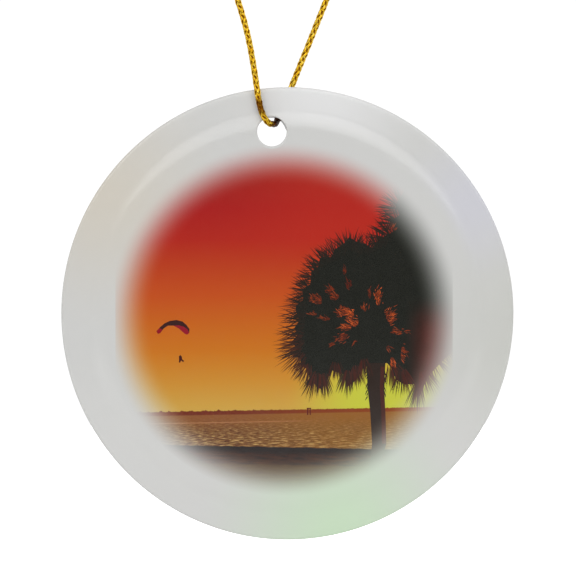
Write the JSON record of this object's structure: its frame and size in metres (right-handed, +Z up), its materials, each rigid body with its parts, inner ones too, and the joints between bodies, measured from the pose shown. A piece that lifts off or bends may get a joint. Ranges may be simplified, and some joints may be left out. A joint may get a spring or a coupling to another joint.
{
  "type": "hanging disc ornament",
  "caption": "Round glazed porcelain disc ornament with a printed tropical sunset picture, hung from a knotted loop of gold braided cord through a hole near its top edge.",
  "frame": {"origin": "the hanging point, inside the top of the cord loop, just under the knot", "axes": "+Z up, +X to the right of the picture, +Y to the plain back of the disc"},
  "size_m": [0.073, 0.0057, 0.1432],
  "materials": {
    "porcelain": "white porcelain with a clear gloss glaze",
    "picture": "full-colour picture in a thin gloss film, fading out at its edge",
    "gold_cord": "round braid of flat metallic gold yarn"
  },
  "bodies": {
    "cord": {"hanging_cord": "gold_cord", "cord_knot": "gold_cord", "cord_tails": "gold_cord"},
    "disc": {"porcelain_disc": "porcelain", "picture_film": "picture"}
  },
  "joints": [
    {"name": "disc_sway", "type": "hinge", "parent": "cord", "child": "disc", "pos_m": [-0.00266, 0, -0.06572], "axis": [0, 1, 0], "range_deg": [-20, 20]}
  ]
}
